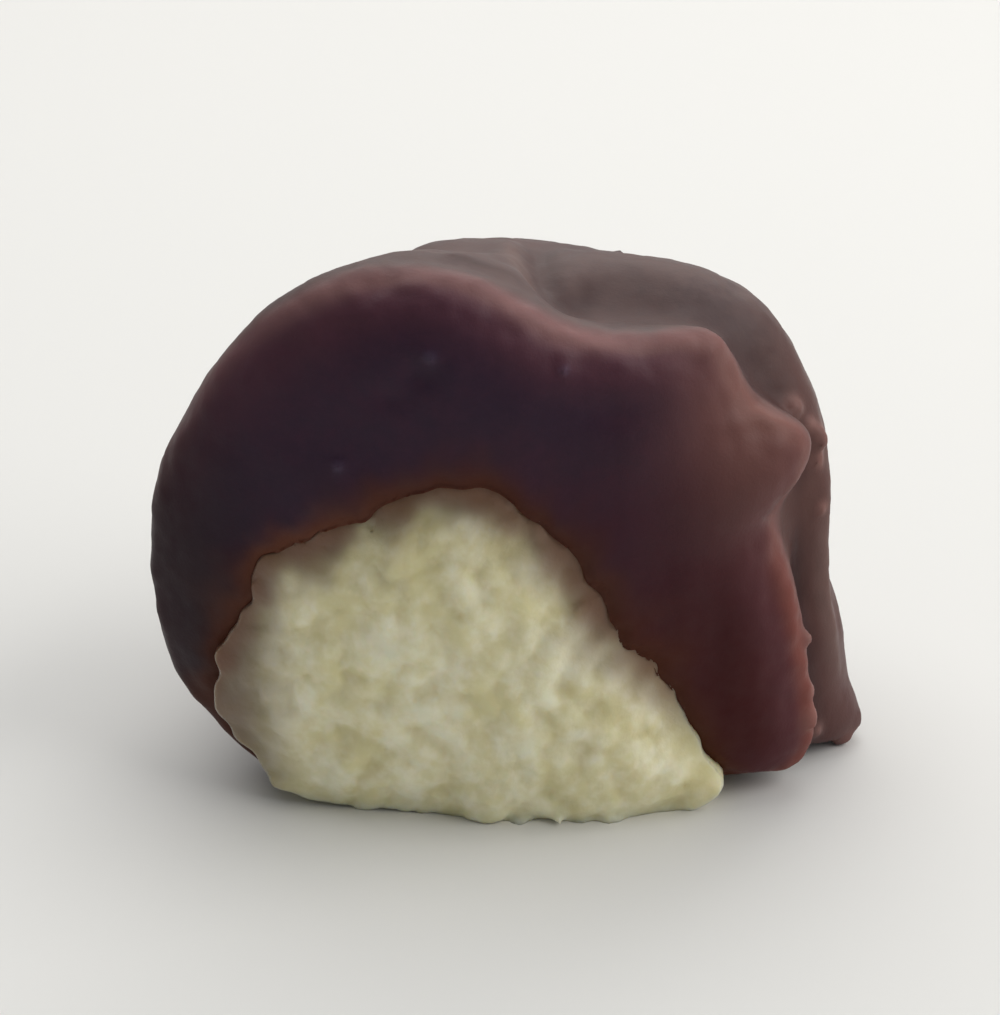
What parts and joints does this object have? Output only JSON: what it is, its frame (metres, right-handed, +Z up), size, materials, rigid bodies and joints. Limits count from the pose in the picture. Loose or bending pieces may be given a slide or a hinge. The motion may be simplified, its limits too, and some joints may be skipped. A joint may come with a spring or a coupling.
{
  "type": "ohagi half",
  "caption": "Oval rice sweet wrapped in smooth bean paste and cut across: a flat-footed half whose cut face shows the ball of rice inside.",
  "frame": {"origin": "middle of the bounding box's bottom, on the surface that the half stands on", "axes": "+Z up; the cut face looks along -Y and the round end is at +Y; +X is to the right of somebody who looks at the cut face"},
  "size_m": [0.0552, 0.038, 0.044],
  "materials": {
    "bean_paste": "smooth, moist bean paste with a soft sheen, dark purple-brown",
    "rice": "moist half-pounded sticky rice, cream white"
  },
  "bodies": {
    "root": {"bean_paste": "bean_paste", "rice": "rice"}
  },
  "joints": []
}
